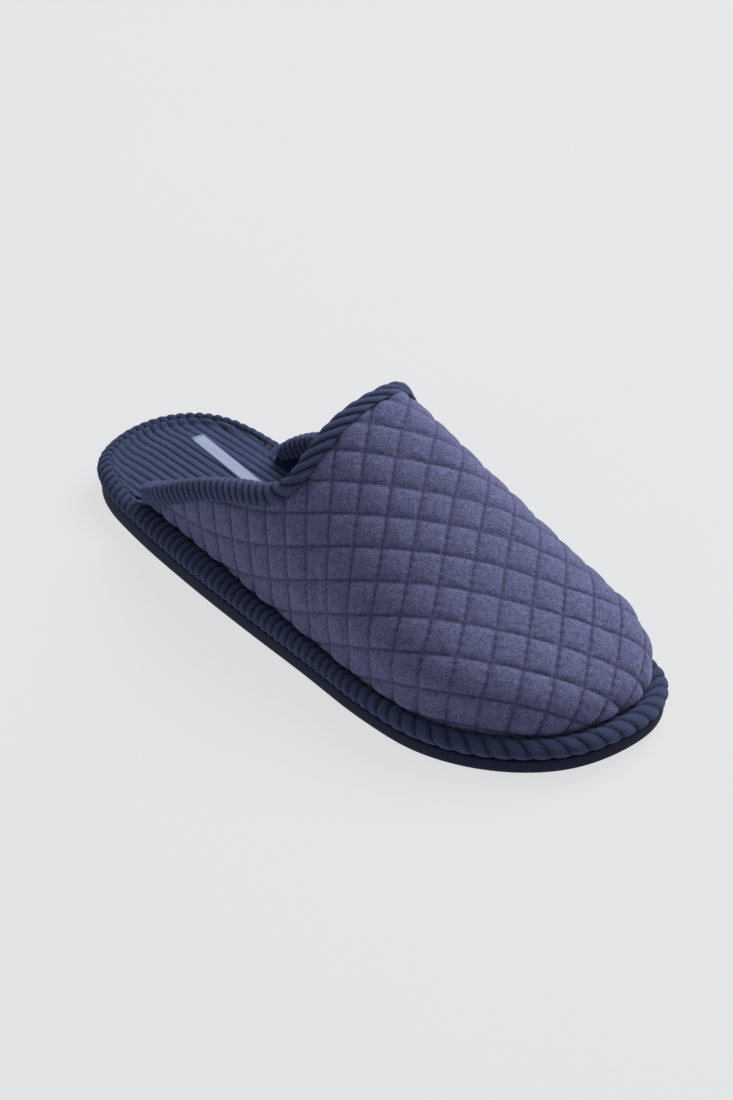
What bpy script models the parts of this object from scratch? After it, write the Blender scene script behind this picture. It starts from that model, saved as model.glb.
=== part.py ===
"""Scuff slipper for the right foot: quilted upper, corduroy platform and a flat outsole.

Metres, +Z up. The sole stands on Z = 0, the toe points to -Y, and the inner side of the
foot is at +X. The origin is on the floor under the middle of the sole's box.
"""
import math
from bisect import bisect_right
from collections import namedtuple

import bmesh
import bpy
from mathutils import Matrix, Vector
from mathutils.bvhtree import BVHTree

# Sole outline
SOLE_LENGTH = 0.2855
HEEL_WIDTH = 0.0765
WAIST_WIDTH = 0.0813
BALL_WIDTH = 0.0966
HEEL_TIP_SHARE = 0.046
TOE_TIP_SHARE = 0.093

# Outsole, a wedge that is thicker at the heel
OUTSOLE_HEEL = 0.0088
OUTSOLE_TOE = 0.0064
OUTSOLE_EDGE = 0.0016
OUTSOLE_TOP_EDGE = 0.00064
TOE_SPRING = 0.0028
SPRING_FROM = 0.72

# Corduroy wrap round the platform
WRAP_BULGE = 0.0010
WRAP_WIDTH = 0.0108
LEDGE_RISE = 0.0052
HEEL_ROLL = 0.0080
SIDE_ROLL = 0.0064
HEEL_ROLL_UNTIL = 0.06
SIDE_ROLL_FROM = 0.15

# Padded insole inside the wrap
INSOLE_EDGE = 0.0012
INSOLE_CROWN = 0.0008
CROWN_RUN = 0.0060
CROWN_TURN = (0.4, 0.6)

# Quilted upper
UPPER_WALL = 0.0038
SEAM_INSET = 0.0060
PEAK_HEIGHT = 0.0970
CREST_LEAN = 0.0150
SWELL = 0.0040
SWELL_RISE = 0.0160
OUTER_FULLNESS = 0.67
INNER_FULLNESS = 0.83
TOE_FULLNESS = 1.10
WAIST_SHARE = 0.45
PIVOT_ALONG = 0.85

# Binding folded over the top edge of the upper
BINDING_CLOTH = 0.0020
BINDING_LIP = 0.0060
BINDING_CAP = 0.0023
BINDING_TAIL = 0.0030
TAIL_TAPER = 0.0120
TAIL_SHARE = 0.75
LIP_MIDDLE = 0.5
LIP_MOUTH = 1.08
MOUTH_OUT = 0.5

# Bare woven label on the insole
LABEL_LENGTH = 0.058
LABEL_WIDTH = 0.006
LABEL_THICKNESS = 0.0005
LABEL_FROM_HEEL = 0.0520
LABEL_OFFSET = 0.0118
LABEL_TURN = math.radians(-5.0)

# Gap between pieces that meet, and the least height of the binding over the seam
CLEARANCE = 0.0003
LIP_CLEARANCE = 0.0015

# Where the middle of a small rounded edge lies, as a share of the edge
ROUND_MIDDLE = 0.3

# Mesh steps
SIDE_STEPS = 38
WING_STEPS = 24
VAMP_STEPS = 14
FAN_STEPS = 9
HIGH_STEPS = 10
LOW_STEPS = 8
RIB_DENSE = 60
LINE_DENSE = 300
EDGE_DENSE = 100
SLOPE_STEP = 0.004

# One rib of the upper: its outer points, and where the foot of its inner face stands.
Rib = namedtuple("Rib", "points back")

# One place on the top edge: the wall's two corners, the next point down the outer face,
# and how far the seam lies below.
EdgePoint = namedtuple("EdgePoint", "outer inner below reach")

# Outline of the sole: along is a share of SOLE_LENGTH from the heel, and outer and inner
# are shares of the named width, measured from the long axis of the foot.
SoleRow = namedtuple("SoleRow", "along outer inner width")
SOLE_ROWS = (
    SoleRow(0.012, 0.190, 0.242, HEEL_WIDTH),
    SoleRow(0.040, 0.350, 0.382, HEEL_WIDTH),
    SoleRow(0.090, 0.443, 0.471, HEEL_WIDTH),
    SoleRow(0.163, 0.501, 0.502, HEEL_WIDTH),
    SoleRow(0.304, 0.531, 0.450, WAIST_WIDTH),
    SoleRow(0.444, 0.567, 0.433, WAIST_WIDTH),
    SoleRow(0.584, 0.497, 0.400, BALL_WIDTH),
    SoleRow(0.725, 0.521, 0.458, BALL_WIDTH),
    SoleRow(0.823, 0.500, 0.500, BALL_WIDTH),
    SoleRow(0.893, 0.420, 0.506, BALL_WIDTH),
    SoleRow(0.946, 0.305, 0.451, BALL_WIDTH),
    SoleRow(0.983, 0.160, 0.331, BALL_WIDTH),
)

# Seam where the upper meets the wrap: shares of SEAM_INSET in from the sole's edge.
SeamRow = namedtuple("SeamRow", "along outer inner")
SEAM_ROWS = (
    SeamRow(0.00, 1.27, 1.27),
    SeamRow(0.20, 1.30, 1.27),
    SeamRow(0.32, 1.33, 1.15),
    SeamRow(0.43, 1.13, 1.00),
    SeamRow(0.56, 0.82, 0.85),
    SeamRow(0.75, 0.75, 0.83),
    SeamRow(0.88, 0.82, 0.85),
    SeamRow(0.95, 0.97, 0.97),
    SeamRow(1.00, 1.00, 1.00),
)

# Crest of the upper: height is a share of PEAK_HEIGHT, lean of CREST_LEAN, and outer and
# inner are each side's share of SWELL.
CrestRow = namedtuple("CrestRow", "along height lean outer inner")
CREST_ROWS = (
    CrestRow(0.160, 1.000, 1.00, 1.00, 1.00),
    CrestRow(0.300, 1.000, 1.00, 1.00, 1.00),
    CrestRow(0.430, 1.000, 1.00, 0.75, 0.92),
    CrestRow(0.520, 1.000, 1.00, 0.52, 0.82),
    CrestRow(0.608, 0.903, 1.08, 0.44, 0.79),
    CrestRow(0.688, 0.787, 1.12, 0.44, 0.79),
    CrestRow(0.776, 0.637, 1.00, 0.44, 0.74),
    CrestRow(0.850, 0.500, 0.78, 0.34, 0.56),
    CrestRow(0.900, 0.440, 0.75, 0.20, 0.34),
    CrestRow(1.000, 0.190, 0.75, 0.03, 0.03),
)

# Top edge of the upper from a wing's tip to the peak: height is a share of PEAK_HEIGHT.
# The throat is where the wing's long edge turns up to the arch over the foot.
TopRow = namedtuple("TopRow", "along height")
THROAT_ROW = 7
OUTER_TOP_ROWS = (
    TopRow(0.172, 0.205),
    TopRow(0.201, 0.258),
    TopRow(0.231, 0.312),
    TopRow(0.291, 0.416),
    TopRow(0.344, 0.497),
    TopRow(0.410, 0.577),
    TopRow(0.458, 0.627),
    TopRow(0.493, 0.683),
    TopRow(0.507, 0.752),
    TopRow(0.512, 0.825),
    TopRow(0.514, 0.897),
    TopRow(0.516, 0.954),
    TopRow(0.520, 1.000),
)
INNER_TOP_ROWS = (
    TopRow(0.205, 0.188),
    TopRow(0.220, 0.224),
    TopRow(0.236, 0.262),
    TopRow(0.279, 0.344),
    TopRow(0.342, 0.418),
    TopRow(0.401, 0.482),
    TopRow(0.438, 0.534),
    TopRow(0.466, 0.604),
    TopRow(0.482, 0.690),
    TopRow(0.493, 0.773),
    TopRow(0.503, 0.856),
    TopRow(0.511, 0.932),
    TopRow(0.520, 1.000),
)

# Section of the wrap, from its inner foot round the outside to its inner top: out is a
# share of the bulge where positive and of the seam's inset where negative, and rise is a
# share of the roll.
WrapRow = namedtuple("WrapRow", "out rise")
WRAP_ROLL_ROWS = (
    WrapRow(-0.03, 0.00),
    WrapRow(0.70, 0.14),
    WrapRow(1.00, 0.38),
    WrapRow(0.55, 0.64),
    WrapRow(-0.14, 0.85),
    WrapRow(-0.40, 0.98),
    WrapRow(-0.68, 0.97),
)

# Half section of the binding above its lip: out is a share of the half thickness, and
# rise a share of the lip's depth where negative and of the cap where positive.
BindingRow = namedtuple("BindingRow", "out rise")
BINDING_ROWS = (
    BindingRow(0.86, -1.00),
    BindingRow(1.00, -0.62),
    BindingRow(0.98, -0.10),
    BindingRow(0.72, 0.66),
)


def read_curve(knots, values, place):
    """Read a smooth curve through hand-set values at one place."""
    place = min(max(place, knots[0]), knots[-1])
    last = len(knots) - 2
    k = min(max(bisect_right(knots, place) - 1, 0), last)

    def chord(i):
        return (values[i + 1] - values[i]) / (knots[i + 1] - knots[i])

    def slope(i):
        if i == 0 or i == last + 1:
            return chord(min(i, last))
        before = knots[i] - knots[i - 1]
        after = knots[i + 1] - knots[i]
        return (chord(i - 1) * after + chord(i) * before) / (before + after)

    span = knots[k + 1] - knots[k]
    t = (place - knots[k]) / span
    start = values[k] * (1 + 2 * t) * (1 - t) ** 2 + slope(k) * span * t * (1 - t) ** 2
    end = values[k + 1] * t * t * (3 - 2 * t) + slope(k + 1) * span * t * t * (t - 1)
    return start + end


def read_rows(rows, column, along):
    """Read one column of a table at a share of the sole's length."""
    return read_curve([row.along for row in rows], [getattr(row, column) for row in rows], along)


def resample(points, count):
    """Place count + 1 points at even steps along a line of points."""
    lengths = [0.0]
    for first, second in zip(points, points[1:]):
        lengths.append(lengths[-1] + (second - first).length)
    result = []
    for step in range(count + 1):
        place = lengths[-1] * step / count
        k = min(bisect_right(lengths, place) - 1, len(points) - 2)
        span = lengths[k + 1] - lengths[k]
        share = (place - lengths[k]) / span if span > 0.0 else 0.0
        result.append(points[k].lerp(points[k + 1], share))
    return result


def y_at(along):
    """Turn a share of the sole's length into a Y coordinate."""
    return SOLE_LENGTH * (0.5 - along)


def along_at(y):
    """Turn a Y coordinate into a share of the sole's length."""
    return 0.5 - y / SOLE_LENGTH


def sole_sides():
    """Give the outer and inner side of the sole, each from the heel's tip to the toe's."""
    heel = Vector((HEEL_WIDTH * HEEL_TIP_SHARE, y_at(0.0)))
    toe = Vector((BALL_WIDTH * TOE_TIP_SHARE, y_at(1.0)))
    outer = [Vector((-row.outer * row.width, y_at(row.along))) for row in SOLE_ROWS]
    inner = [Vector((row.inner * row.width, y_at(row.along))) for row in SOLE_ROWS]
    sides = []
    for near, far in ((outer, inner), (inner, outer)):
        line = [far[1], far[0], heel] + near + [toe, far[-1], far[-2]]
        knots = [0.0]
        for first, second in zip(line, line[1:]):
            knots.append(knots[-1] + (second - first).length)
        start = knots[2]
        span = knots[-3] - start
        dense = []
        for step in range(LINE_DENSE + 1):
            place = start + span * step / LINE_DENSE
            dense.append(Vector([read_curve(knots, [p[axis] for p in line], place) for axis in (0, 1)]))
        sides.append(dense)
    left = min(point.x for point in sides[0])
    right = max(point.x for point in sides[1])
    shift = Vector((-0.5 * (left + right), 0.0))
    return [[point + shift for point in side] for side in sides]


def move_in(sides, amounts):
    """Move both sides in from the sole's edge, each by a distance that varies by place."""
    toe = len(sides[0]) - 1
    loop = sides[0] + sides[1][-2:0:-1]
    moved = []
    for k, point in enumerate(loop):
        run = loop[(k + 1) % len(loop)] - loop[k - 1]
        inside = Vector((-run.y, run.x)).normalized()
        amount = amounts[0] if k <= toe else amounts[1]
        moved.append(point + inside * amount(along_at(point.y)))
    return [moved[:toe + 1], [moved[0]] + moved[:toe:-1] + [moved[toe]]]


def evenly(distance):
    """Give the same distance everywhere on both sides."""
    return [lambda along: distance] * 2


def seam_inset(extra, share=1.0):
    """Give each side's distance from the sole's edge to the upper's seam, by place."""
    def reader(column):
        return lambda along: share * SEAM_INSET * read_rows(SEAM_ROWS, column, along) + extra
    return [reader("outer"), reader("inner")]


def floor_rise(y):
    """Height of the underside, flat but for the toe spring."""
    share = max(0.0, (along_at(y) - SPRING_FROM) / (1.0 - SPRING_FROM))
    return TOE_SPRING * share * share


def outsole_top(y):
    """Height of the flat top of the outsole."""
    return floor_rise(y) + OUTSOLE_HEEL + (OUTSOLE_TOE - OUTSOLE_HEEL) * along_at(y)


def platform_bottom(y):
    """Height at which the wrap and the insole start."""
    return outsole_top(y) + CLEARANCE


def ledge_top(y):
    """Height of the flat top that the upper is stitched down to."""
    return platform_bottom(y) + LEDGE_RISE


def roll_height(y, share):
    """Height of a point of the wrap's roll."""
    return platform_bottom(y) + share * roll_rise(along_at(y))


def seam_height(y):
    """Height of the lower edge of the upper."""
    return ledge_top(y) + CLEARANCE


def insole_top(y):
    """Height of the insole's crown."""
    return ledge_top(y) + INSOLE_CROWN


def crown_inset():
    """Distance in from the sole's edge to where the insole's crown starts to rise."""
    seam = SEAM_INSET * max(row.outer for row in SEAM_ROWS)
    return max(WRAP_WIDTH + CLEARANCE + INSOLE_EDGE, seam + UPPER_WALL + CLEARANCE) + INSOLE_EDGE


def roll_rise(along):
    """Height of the wrap's roll, fuller behind the heel than along the sides."""
    share = (along - HEEL_ROLL_UNTIL) / (SIDE_ROLL_FROM - HEEL_ROLL_UNTIL)
    share = min(max(share, 0.0), 1.0)
    blend = share * share * (3.0 - 2.0 * share)
    return HEEL_ROLL + (SIDE_ROLL - HEEL_ROLL) * blend


def crest_height(along):
    """Height of the crest of the upper."""
    return PEAK_HEIGHT * read_rows(CREST_ROWS, "height", along)


def x_on(line, y):
    """X of a side of the sole at a given Y."""
    for first, second in zip(line, line[1:]):
        if first.y >= y >= second.y:
            share = (first.y - y) / (first.y - second.y)
            return first.x + (second.x - first.x) * share
    raise ValueError("no such place on the outline")


def ray_on(line, origin, direction):
    """Point where a level ray from inside the sole meets a side."""
    across = Vector((-direction.y, direction.x))
    for first, second in zip(line, line[1:]):
        start = (first - origin).dot(across)
        end = (second - origin).dot(across)
        if start * end > 0.0 or start == end:
            continue
        hit = first.lerp(second, start / (start - end))
        if (hit - origin).dot(direction) > 0.0:
            return hit
    raise ValueError("the ray misses the outline")


def crest_point(along, sides):
    """Point of the crest, leaning to the inner side of the sole's middle line."""
    y = y_at(along)
    middle = 0.5 * (x_on(sides[0], y) + x_on(sides[1], y))
    return Vector((middle + CREST_LEAN * read_rows(CREST_ROWS, "lean", along), y, crest_height(along)))


def rib_line(side, crest, foot, slope, fullness):
    """Line from the crest over the shoulder and the swollen side to the foot of the upper."""
    level = Vector((foot.x - crest.x, foot.y - crest.y))
    reach = level.length
    direction = level / reach
    base = seam_height(foot.y)
    swell = SWELL * read_rows(CREST_ROWS, ("outer", "inner")[side], along_at(foot.y))
    breadth = reach + swell
    knee = crest.z - slope * breadth
    waist = base + min(SWELL_RISE, WAIST_SHARE * (knee - base))
    points = []
    for step in range(RIB_DENSE + 1):
        share = step / RIB_DENSE
        start = (1.0 - share) ** 2
        pull = 2.0 * fullness * share * (1.0 - share)
        end = share * share
        out = breadth * (pull + end) / (start + pull + end)
        up = (crest.z * start + knee * pull + waist * end) / (start + pull + end)
        points.append(Vector((crest.x + direction.x * out, crest.y + direction.y * out, up)))
    low_steps = RIB_DENSE // 4
    for step in range(1, low_steps + 1):
        share = step / low_steps
        out = breadth - swell * share * share
        up = waist + (base - waist) * share
        points.append(Vector((crest.x + direction.x * out, crest.y + direction.y * out, up)))
    return points


def cut_below(points, height):
    """Keep the part of a rib that lies below a height."""
    for k, point in enumerate(points):
        if point.z <= height:
            if k == 0:
                return points
            above = points[k - 1]
            share = (above.z - height) / (above.z - point.z)
            return [above.lerp(point, share)] + points[k:]
    raise ValueError("the top edge is lower than the seam")


def side_fullness(side, turn):
    """Roundness of a rib that stands at an angle to the toe's direction."""
    across = (OUTER_FULLNESS, INNER_FULLNESS)[side]
    return across + (TOE_FULLNESS - across) * math.cos(turn)


def slanted_rib(sides, feet, side, crest_along, foot_along):
    """Rib from a place on the crest to a place on one side's seam."""
    crest = crest_point(crest_along, sides)
    foot = Vector((x_on(feet[side], y_at(foot_along)), y_at(foot_along)))
    return rib_line(side, crest, foot, 0.0, side_fullness(side, 0.5 * math.pi))


def top_edge(sides, feet, side):
    """Top edge of one side, as the wing's part and the part from the throat to the peak."""
    rows = (OUTER_TOP_ROWS, INNER_TOP_ROWS)[side]
    knots = list(range(len(rows)))
    parts = []
    for first, last in ((0, THROAT_ROW), (THROAT_ROW, knots[-1])):
        line = []
        for step in range(EDGE_DENSE + 1):
            place = first + (last - first) * math.sin(0.5 * math.pi * step / EDGE_DENSE)
            along = read_curve(knots, [row.along for row in rows], place)
            height = PEAK_HEIGHT * read_curve(knots, [row.height for row in rows], place)
            line.append(cut_below(slanted_rib(sides, feet, side, along, along), height)[0])
        parts.append(line)
    return parts


def upper_ribs(sides):
    """Give both halves of the upper as ribs, each with the level foot of its inner face."""
    feet = move_in(sides, seam_inset(CLEARANCE))
    backs = move_in(sides, seam_inset(CLEARANCE + UPPER_WALL))
    pivot = crest_point(PIVOT_ALONG, sides)
    fall = crest_height(PIVOT_ALONG - SLOPE_STEP) - crest_height(PIVOT_ALONG + SLOPE_STEP)
    slope = fall / (2.0 * SLOPE_STEP * SOLE_LENGTH)
    halves = []
    for side in (0, 1):
        rows = (OUTER_TOP_ROWS, INNER_TOP_ROWS)[side]
        wing, front = top_edge(sides, feet, side)
        ribs = []
        for start in resample(wing, WING_STEPS):
            along = along_at(start.y)
            line = cut_below(slanted_rib(sides, feet, side, along, along), start.z)
            back = Vector((x_on(backs[side], start.y), start.y))
            ribs.append(Rib(resample(line, LOW_STEPS), back))
        arch = resample(front[::-1], HIGH_STEPS)
        ribs[-1] = Rib(arch + ribs[-1].points[1:], ribs[-1].back)
        peak = rows[-1].along
        throat = rows[THROAT_ROW].along
        for step in range(1, VAMP_STEPS + 1):
            share = step / VAMP_STEPS
            foot = throat + (PIVOT_ALONG - throat) * share
            line = slanted_rib(sides, feet, side, peak + (PIVOT_ALONG - peak) * share, foot)
            back = Vector((x_on(backs[side], y_at(foot)), y_at(foot)))
            ribs.append(Rib(resample(line, HIGH_STEPS + LOW_STEPS), back))
        for step in range(1, FAN_STEPS + 1):
            turn = 0.5 * math.pi * (1.0 - step / FAN_STEPS)
            direction = Vector(((-1, 1)[side] * math.sin(turn), -math.cos(turn)))
            foot = ray_on(feet[side] + feet[1 - side][::-1], pivot.xy, direction)
            back = ray_on(backs[side] + backs[1 - side][::-1], pivot.xy, direction)
            line = rib_line(side, pivot, foot, slope * math.cos(turn), side_fullness(side, turn))
            ribs.append(Rib(resample(line, HIGH_STEPS + LOW_STEPS), back))
        halves.append(ribs)
    return halves


def new_material(name, red, green, blue, roughness):
    """Make a plain material of one colour."""
    material = bpy.data.materials.new(name)
    material.use_nodes = True
    shader = material.node_tree.nodes["Principled BSDF"]
    shader.inputs["Base Color"].default_value = (red, green, blue, 1.0)
    shader.inputs["Roughness"].default_value = roughness
    shader.inputs["Metallic"].default_value = 0.0
    return material


def new_object(name, builder, material, smooth_angle):
    """Close a bmesh into an object with its faces pointing out."""
    bmesh.ops.remove_doubles(builder, verts=builder.verts, dist=0.000001)
    bmesh.ops.recalc_face_normals(builder, faces=builder.faces)
    bmesh.ops.triangulate(builder, faces=builder.faces)
    mesh = bpy.data.meshes.new(name)
    builder.to_mesh(mesh)
    builder.free()
    mesh.shade_smooth()
    mesh.set_sharp_from_angle(angle=math.radians(smooth_angle))
    mesh.materials.append(material)
    made = bpy.data.objects.new(name, mesh)
    bpy.context.scene.collection.objects.link(made)
    return made


def add_strip(builder, first, second, closed):
    """Bridge two rows of vertices with quads."""
    count = len(first)
    for k in range(count if closed else count - 1):
        n = (k + 1) % count
        corners = [first[k], first[n], second[n], second[k]]
        kept = [v for i, v in enumerate(corners) if v not in corners[:i]]
        if len(kept) > 2:
            builder.faces.new(kept)


def round_ring(sides, amounts, height):
    """Ring of points round the sole at an inset, with its height by place."""
    outer, inner = move_in([resample(side, SIDE_STEPS) for side in sides], amounts)
    return [Vector((point.x, point.y, height(point.y))) for point in outer + inner[-2:0:-1]]


def add_cap(builder, ring):
    """Close a ring round the sole with strips that run across it."""
    outer = ring[:SIDE_STEPS + 1]
    inner = [ring[0]] + ring[:SIDE_STEPS:-1] + [ring[SIDE_STEPS]]
    add_strip(builder, outer, inner, False)


def stack_rings(name, rings, material, smooth_angle):
    """Solid from rings stacked up from the underside and capped at both ends."""
    builder = bmesh.new()
    rows = [[builder.verts.new(point) for point in ring] for ring in rings]
    for first, second in zip(rows, rows[1:]):
        add_strip(builder, first, second, True)
    add_cap(builder, rows[0])
    add_cap(builder, rows[-1])
    return new_object(name, builder, material, smooth_angle)


def make_outsole(sides):
    """Flat wedge with a rounded lower edge and a small spring at the toe."""
    middle = ROUND_MIDDLE * OUTSOLE_EDGE
    steps = (
        (OUTSOLE_EDGE, floor_rise),
        (middle, lambda y: floor_rise(y) + middle),
        (0.0, lambda y: floor_rise(y) + OUTSOLE_EDGE),
        (0.0, lambda y: outsole_top(y) - OUTSOLE_TOP_EDGE),
        (OUTSOLE_TOP_EDGE, outsole_top),
    )
    rings = [round_ring(sides, evenly(inset), height) for inset, height in steps]
    material = new_material("outsole rubber", 0.012, 0.020, 0.060, 0.55)
    return stack_rings("outsole", rings, material, 40.0)


def make_wrap(sides):
    """Padded corduroy ring round the platform, with a ledge inside for the upper's seam."""
    rings = [round_ring(sides, evenly(WRAP_WIDTH), platform_bottom)]
    for row in WRAP_ROLL_ROWS:
        amounts = evenly(-row.out * WRAP_BULGE) if row.out > 0.0 else seam_inset(0.0, -row.out)
        rings.append(round_ring(sides, amounts, lambda y, rise=row.rise: roll_height(y, rise)))
    rings.append(round_ring(sides, seam_inset(0.0), ledge_top))
    rings.append(round_ring(sides, evenly(WRAP_WIDTH), ledge_top))
    builder = bmesh.new()
    rows = [[builder.verts.new(point) for point in ring] for ring in rings]
    for first, second in zip(rows, rows[1:] + rows[:1]):
        add_strip(builder, first, second, True)
    material = new_material("corduroy wrap", 0.014, 0.025, 0.070, 0.9)
    return new_object("foxing_wrap", builder, material, 50.0)


def make_insole(sides):
    """Padded insole that fills the wrap, level with its ledge and a little crowned."""
    start = WRAP_WIDTH + CLEARANCE
    middle = ROUND_MIDDLE * INSOLE_EDGE
    turn_run, turn_rise = CROWN_TURN
    steps = (
        (start, platform_bottom),
        (start, lambda y: ledge_top(y) - INSOLE_EDGE),
        (start + middle, lambda y: ledge_top(y) - middle),
        (start + INSOLE_EDGE, ledge_top),
        (crown_inset(), ledge_top),
        (crown_inset() + turn_run * CROWN_RUN, lambda y: ledge_top(y) + turn_rise * INSOLE_CROWN),
        (crown_inset() + CROWN_RUN, insole_top),
    )
    rings = [round_ring(sides, evenly(inset), height) for inset, height in steps]
    material = new_material("corduroy insole", 0.016, 0.030, 0.080, 0.9)
    return stack_rings("insole", rings, material, 40.0)


def make_upper(halves):
    """Hollow shell: ribs from the top edge to the seam, with a wall of even thickness."""
    builder = bmesh.new()
    skins = []
    backs = {}
    for side, ribs in enumerate(halves):
        rows = []
        for r, rib in enumerate(ribs):
            row = []
            for j, point in enumerate(rib.points):
                on_crest = j == 0 and r >= WING_STEPS
                on_pivot = j == 0 and r > WING_STEPS + VAMP_STEPS
                if side == 1 and (on_crest or r == len(ribs) - 1):
                    row.append(skins[0][r][j])
                elif on_pivot:
                    row.append(rows[WING_STEPS + VAMP_STEPS][0])
                else:
                    row.append(builder.verts.new(point))
            backs[row[-1]] = Vector((rib.back.x, rib.back.y, rib.points[-1].z))
            rows.append(row)
        for r in range(len(rows) - 1):
            skip = HIGH_STEPS if r == WING_STEPS - 1 else 0
            pair = (rows[r], rows[r + 1][skip:])
            add_strip(builder, *(pair if side == 0 else pair[::-1]), False)
        skins.append(rows)
    builder.normal_update()
    outside = list(builder.verts)
    faces = list(builder.faces)
    rim = [edge for edge in builder.edges if edge.is_boundary]
    inside = {}
    for vertex in outside:
        place = backs.get(vertex, vertex.co - vertex.normal * UPPER_WALL)
        inside[vertex] = builder.verts.new(place)
    for face in faces:
        builder.faces.new([inside[vertex] for vertex in reversed(face.verts)])
    for seam in rim:
        near, far = seam.verts
        builder.faces.new([near, far, inside[far], inside[near]])
    builder.verts.index_update()
    places = [vertex.co.copy() for vertex in builder.verts]
    outer_skin = [[vertex.index for vertex in face.verts] for face in faces]
    inner_skin = [[inside[vertex].index for vertex in face.verts] for face in faces]
    trees = [BVHTree.FromPolygons(places, skin) for skin in (outer_skin, inner_skin)]
    edge = []
    for side, rows in enumerate(skins):
        walk = [(row[0], row[1], row[-1]) for row in rows[:WING_STEPS]]
        arch = zip(rows[WING_STEPS][HIGH_STEPS::-1], rows[WING_STEPS + 1][HIGH_STEPS::-1])
        walk += [(vertex, below, None) for vertex, below in arch]
        line = []
        for vertex, below, foot in walk:
            reach = (vertex.co - foot.co).length if foot else math.inf
            line.append(EdgePoint(vertex.co.copy(), inside[vertex].co.copy(), below.co.copy(), reach))
        edge += line if side == 0 else line[-2::-1]
    material = new_material("quilted jersey", 0.070, 0.075, 0.180, 0.95)
    new_object("upper", builder, material, 60.0)
    return trees, edge


def binding_section(frame, cloth, lip, trees):
    """Closed section of the binding: a slot over the wall's edge inside a rounded fold."""
    middle, across, up = frame

    def on_wall(sign, depth, out):
        target = middle - up * depth + across * (sign * 0.5 * UPPER_WALL)
        place, normal, _, _ = trees[0 if sign > 0 else 1].find_nearest(target)
        return place + normal * (sign * out)

    half = 0.5 * UPPER_WALL + CLEARANCE
    section = []
    for sign in (1, -1):
        side = [on_wall(sign, lip * share, CLEARANCE) for share in (0.0, LIP_MIDDLE, 1.0)]
        side[0] = middle + across * (sign * half) + up * CLEARANCE
        side.append(on_wall(sign, LIP_MOUTH * lip, CLEARANCE + MOUTH_OUT * cloth))
        for row in BINDING_ROWS:
            if row.rise < 0.0:
                side.append(on_wall(sign, -row.rise * lip, CLEARANCE + row.out * cloth))
            else:
                shift = across * (sign * row.out * (half + cloth))
                side.append(middle + shift + up * (CLEARANCE + row.rise * BINDING_CAP))
        section.append(side)
    crown = middle + up * (CLEARANCE + BINDING_CAP)
    return section[0] + [crown] + section[1][::-1]


def make_binding(trees, edge):
    """Corduroy strip folded over the top edge, from one wing's tip round to the other."""
    middles = [0.5 * (point.outer + point.inner) for point in edge]
    lengths = [0.0]
    for first, second in zip(middles, middles[1:]):
        lengths.append(lengths[-1] + (second - first).length)
    sections = []
    for k, point in enumerate(edge):
        run = middles[min(k + 1, len(edge) - 1)] - middles[max(k - 1, 0)]
        across = (point.outer - point.inner).normalized()
        up = run.cross(across).normalized()
        rib_up = (point.outer - point.below).normalized()
        if up.dot(rib_up) < 0.0:
            up = -up
        from_tip = min(lengths[k], lengths[-1] - lengths[k])
        fullness = min(from_tip / TAIL_TAPER, 1.0)
        up = rib_up.lerp(up, fullness).normalized()
        cloth = BINDING_CLOTH * (TAIL_SHARE + (1.0 - TAIL_SHARE) * fullness)
        lip = min(BINDING_LIP, point.reach - LIP_CLEARANCE)
        sections.append(binding_section((middles[k], across, up), cloth, lip, trees))
    for end, near in ((0, 1), (-1, -2)):
        run = middles[end] - middles[near]
        step = Vector((run.x, run.y, 0.0)).normalized() * BINDING_TAIL
        top = max(sections[end], key=lambda point: point.z)
        tail = [top + (point - top) * TAIL_SHARE + step for point in sections[end]]
        if end == 0:
            sections.insert(0, tail)
        else:
            sections.append(tail)
    builder = bmesh.new()
    rows = [[builder.verts.new(point) for point in section] for section in sections]
    for first, second in zip(rows, rows[1:]):
        add_strip(builder, first, second, True)
    builder.faces.new(rows[0])
    builder.faces.new(rows[-1])
    material = new_material("corduroy binding", 0.014, 0.022, 0.055, 0.9)
    new_object("binding", builder, material, 50.0)


def make_label():
    """Thin bare label sewn flat on the heel half of the insole."""
    builder = bmesh.new()
    bmesh.ops.create_cube(builder, size=1.0)
    turn = Matrix.Rotation(LABEL_TURN, 3, "Z")
    centre = Vector((LABEL_OFFSET, y_at(0.0) - LABEL_FROM_HEEL, 0.0))
    for vertex in builder.verts:
        flat = turn @ Vector((vertex.co.x * LABEL_WIDTH, vertex.co.y * LABEL_LENGTH, 0.0)) + centre
        rise = CLEARANCE + (LABEL_THICKNESS if vertex.co.z > 0.0 else 0.0)
        vertex.co = (flat.x, flat.y, insole_top(flat.y) + rise)
    material = new_material("woven label", 0.200, 0.280, 0.500, 0.6)
    return new_object("label", builder, material, 30.0)


def main():
    for old in list(bpy.data.objects):
        bpy.data.objects.remove(old, do_unlink=True)
    sides = sole_sides()
    halves = upper_ribs(sides)
    make_outsole(sides)
    make_wrap(sides)
    make_insole(sides)
    trees, edge = make_upper(halves)
    make_binding(trees, edge)
    make_label()


main()
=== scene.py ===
# %% [markdown]
# A house slipper is almost all cloth, so the look comes from three things: padding that
# puffs between quilting lines, corduroy whose wales stand up as real ridges, and matt
# fibres that catch soft light. The solids of the frame say where each layer lies. Each
# layer is skinned again here with a grid fine enough to carry its relief, because no
# primitive, extrusion or bevel carries a wale that winds round a curve.

import math

import bpy
import numpy as np
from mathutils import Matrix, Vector
from mathutils.bvhtree import BVHTree
from mathutils.kdtree import KDTree


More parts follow.
